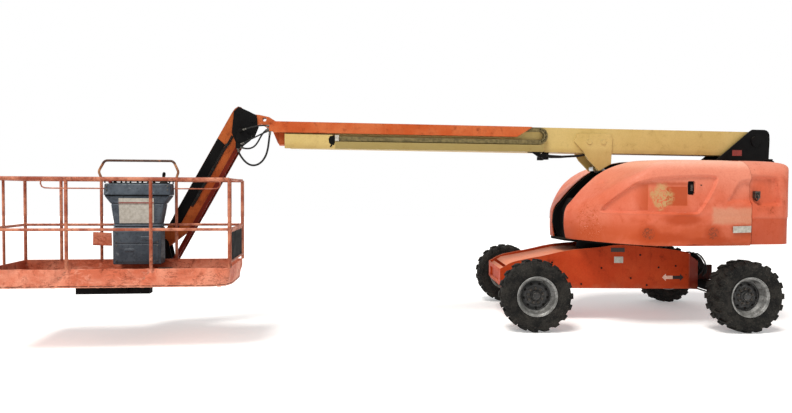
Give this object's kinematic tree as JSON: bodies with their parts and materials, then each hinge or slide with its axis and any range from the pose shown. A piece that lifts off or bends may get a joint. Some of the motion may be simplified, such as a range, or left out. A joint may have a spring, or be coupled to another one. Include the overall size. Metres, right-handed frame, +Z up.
{
  "type": "telescopic boom lift",
  "caption": "Wheeled telescopic boom lift with a jib and a railed work platform, boom level and fully drawn in.",
  "frame": {"origin": "on the ground under the swing axis, midway between the axles", "axes": "+X towards the steered axle, +Y to the left of it, +Z up"},
  "size_m": [9.4573, 3.5384, 2.6958],
  "materials": {
    "chassis_paint": "faded red-orange paint, dusty, scuffed",
    "black_steel": "worn black paint",
    "rod_chrome": "polished rod",
    "tyre_rubber": "dusty lugged tread",
    "rim_paint": "silver-grey paint, scuffed",
    "hood_plastic": "sun-faded orange moulding",
    "counterweight_iron": "faded orange paint on a casting",
    "lug_steel": "worn bare steel",
    "engine_iron": "dark engine casting",
    "tank_plastic": "black tank",
    "control_box": "dark control box",
    "boom_paint": "weathered cream paint",
    "carrier_plastic": "black hose carrier",
    "hose_rubber": "black hydraulic hose",
    "orange_paint": "weathered orange paint with rust",
    "link_paint": "dark red-orange paint",
    "platform_paint": "faded salmon paint, rusty and dented",
    "console_plastic": "faded slate plastic",
    "switch_metal": "scuffed guard"
  },
  "bodies": {
    "chassis": {"chassis_frame": "chassis_paint", "swing_bearing": "black_steel", "rear_axle": "black_steel", "front_axle": "black_steel"},
    "rear_left_wheel": {"tyre_rear_left": "tyre_rubber", "rim_rear_left": "rim_paint"},
    "rear_right_wheel": {"tyre_rear_right": "tyre_rubber", "rim_rear_right": "rim_paint"},
    "front_left_wheel": {"tyre_front_left": "tyre_rubber", "rim_front_left": "rim_paint"},
    "front_right_wheel": {"tyre_front_right": "tyre_rubber", "rim_front_right": "rim_paint"},
    "knuckle_left_body": {"knuckle_left": "black_steel"},
    "knuckle_right_body": {"knuckle_right": "black_steel"},
    "tie_rod_body": {"tie_rod": "black_steel"},
    "turntable": {"turntable_deck": "black_steel", "turntable_frame": "black_steel", "lift_foot_pin": "black_steel", "boom_pivot_pin": "black_steel", "counterweight": "counterweight_iron", "tie_down_lugs": "lug_steel", "engine_block": "engine_iron", "fluid_tank": "tank_plastic", "ground_control_box": "control_box"},
    "hood_left_body": {"hood_left": "hood_plastic"},
    "hood_right_body": {"hood_right": "hood_plastic"},
    "boom": {"base_boom": "boom_paint", "carrier_trough": "boom_paint", "carrier_lower_run": "carrier_plastic"},
    "lift_barrel_body": {"lift_barrel": "black_steel"},
    "lift_rod_body": {"lift_rod": "rod_chrome"},
    "fly": {"fly_boom": "orange_paint", "push_tube": "orange_paint", "hose_loop_large": "hose_rubber", "hose_loop_small": "hose_rubber", "hose_top": "hose_rubber", "hose_middle": "hose_rubber"},
    "carrier": {"carrier_loop": "carrier_plastic"},
    "jib_head_body": {"jib_head": "black_steel"},
    "jib_body": {"jib_arm": "orange_paint", "jib_cover": "black_steel"},
    "jib_link_body": {"jib_links": "link_paint"},
    "jib_barrel_body": {"jib_barrel": "black_steel"},
    "jib_rod_body": {"jib_rod": "rod_chrome"},
    "support": {"platform_support": "black_steel"},
    "platform": {"platform_mount": "black_steel", "platform_floor": "platform_paint", "rail_near": "platform_paint", "rail_far": "platform_paint", "rail_end": "platform_paint", "gate_post": "black_steel", "guard_hoop": "platform_paint", "console": "console_plastic", "document_plate": "platform_paint", "foot_switch": "switch_metal"},
    "gate_body": {"gate": "platform_paint"}
  },
  "joints": [
    {"name": "rear_left_roll", "type": "hinge", "parent": "chassis", "child": "rear_left_wheel", "pos_m": [-1.245, 1.017, 0.43], "axis": [0, 1, 0], "continuous": true},
    {"name": "rear_right_roll", "type": "hinge", "parent": "chassis", "child": "rear_right_wheel", "pos_m": [-1.245, -1.017, 0.43], "axis": [0, 1, 0], "continuous": true},
    {"name": "steer_left", "type": "hinge", "parent": "chassis", "child": "knuckle_left_body", "pos_m": [1.245, 0.767, 0.43], "axis": [0, 0, 1], "range_deg": [-40.4, 29.6]},
    {"name": "steer_right", "type": "hinge", "parent": "chassis", "child": "knuckle_right_body", "pos_m": [1.245, -0.767, 0.43], "axis": [0, 0, 1], "range_deg": [-40.4, 29.6]},
    {"name": "tie_rod_pivot", "type": "hinge", "parent": "knuckle_left_body", "child": "tie_rod_body", "pos_m": [1.09567, 0.75288, 0.393], "axis": [0, 0, 1], "range_deg": [-29.7, 40.5]},
    {"name": "front_left_roll", "type": "hinge", "parent": "knuckle_left_body", "child": "front_left_wheel", "pos_m": [1.245, 0.767, 0.43], "axis": [-0.0941, 0.9956, 0], "continuous": true},
    {"name": "front_right_roll", "type": "hinge", "parent": "knuckle_right_body", "child": "front_right_wheel", "pos_m": [1.245, -0.767, 0.43], "axis": [-0.0941, 0.9956, 0], "continuous": true},
    {"name": "swing", "type": "hinge", "parent": "chassis", "child": "turntable", "pos_m": [0, 0, 1.02], "axis": [0, 0, 1], "continuous": true},
    {"name": "hood_left_hinge", "type": "hinge", "parent": "turntable", "child": "hood_left_body", "pos_m": [-0.02844, 0.18584, 2.106], "axis": [0.9885, 0.1513, 0], "range_deg": [0, 50]},
    {"name": "hood_right_hinge", "type": "hinge", "parent": "turntable", "child": "hood_right_body", "pos_m": [0.02844, -0.18584, 2.106], "axis": [-0.9885, -0.1513, 0], "range_deg": [0, 50]},
    {"name": "boom_lift", "type": "hinge", "parent": "turntable", "child": "boom", "pos_m": [2.02641, 0.31008, 2.38], "axis": [-0.1513, 0.9885, 0], "range_deg": [0, 72]},
    {"name": "lift_barrel_pivot", "type": "hinge", "parent": "turntable", "child": "lift_barrel_body", "pos_m": [1.48274, 0.22689, 1.165], "axis": [-0.1513, 0.9885, 0], "range_deg": [0, 55.7]},
    {"name": "lift_rod_slide", "type": "slide", "parent": "lift_barrel_body", "child": "lift_rod_body", "axis": [-0.8908, -0.1363, 0.4335], "range_m": [0, 1.392]},
    {"name": "telescope", "type": "slide", "parent": "boom", "child": "fly", "axis": [-0.9885, -0.1513, 0], "range_m": [0, 4.4]},
    {"name": "carrier_slide", "type": "slide", "parent": "boom", "child": "carrier", "axis": [-0.9885, -0.1513, 0], "range_m": [0, 2.202], "deforming": ["carrier_lower_run"]},
    {"name": "head_level", "type": "hinge", "parent": "fly", "child": "jib_head_body", "pos_m": [-4.69436, -0.71834, 2.546], "axis": [-0.1513, 0.9885, 0], "range_deg": [-72.1, 0], "deforming": ["hose_loop_large", "hose_loop_small", "hose_top", "hose_middle"]},
    {"name": "jib_lift", "type": "hinge", "parent": "jib_head_body", "child": "jib_body", "pos_m": [-4.85746, -0.7433, 2.636], "axis": [-0.1513, 0.9885, 0], "range_deg": [0, 130]},
    {"name": "jib_link_pivot", "type": "hinge", "parent": "jib_head_body", "child": "jib_link_body", "pos_m": [-4.78925, -0.73286, 2.344], "axis": [-0.1513, 0.9885, 0], "range_deg": [0, 130.1]},
    {"name": "jib_barrel_pivot", "type": "hinge", "parent": "jib_head_body", "child": "jib_barrel_body", "pos_m": [-4.81792, -0.73725, 2.39], "axis": [-0.1513, 0.9885, 0], "range_deg": [0, 125.19]},
    {"name": "jib_rod_slide", "type": "slide", "parent": "jib_barrel_body", "child": "jib_rod_body", "axis": [-0.5112, -0.0782, -0.8559], "range_m": [0, 0.4461]},
    {"name": "platform_level", "type": "hinge", "parent": "jib_body", "child": "support", "pos_m": [-5.72339, -0.8758, 1.02929], "axis": [-0.1513, 0.9885, 0], "range_deg": [-130.1, 0]},
    {"name": "platform_rotate", "type": "hinge", "parent": "support", "child": "platform", "pos_m": [-5.9794, -0.91498, 0.85], "axis": [0, 0, 1], "range_deg": [-176.83, 3.17]},
    {"name": "gate_hinge", "type": "hinge", "parent": "platform", "child": "gate_body", "pos_m": [-4.65542, -1.93168, 1.3], "axis": [0, 0, 1], "range_deg": [0, 90]}
  ],
  "couplings": [
    {"joint": "steer_right", "follows": "steer_left", "ratio": 1},
    {"joint": "tie_rod_pivot", "follows": "steer_left", "ratio": -1},
    {"joint": "lift_barrel_pivot", "follows": "boom_lift", "ratio": 0.76669},
    {"joint": "lift_rod_slide", "follows": "boom_lift", "m_per_rad": 1.1037},
    {"joint": "head_level", "follows": "boom_lift", "ratio": -1},
    {"joint": "carrier_slide", "follows": "telescope", "ratio": 0.5},
    {"joint": "jib_link_pivot", "follows": "jib_lift", "ratio": 1},
    {"joint": "platform_level", "follows": "jib_lift", "ratio": -1},
    {"joint": "jib_barrel_pivot", "follows": "jib_lift", "ratio": 0.95917},
    {"joint": "jib_rod_slide", "follows": "jib_lift", "m_per_rad": 0.19443}
  ]
}
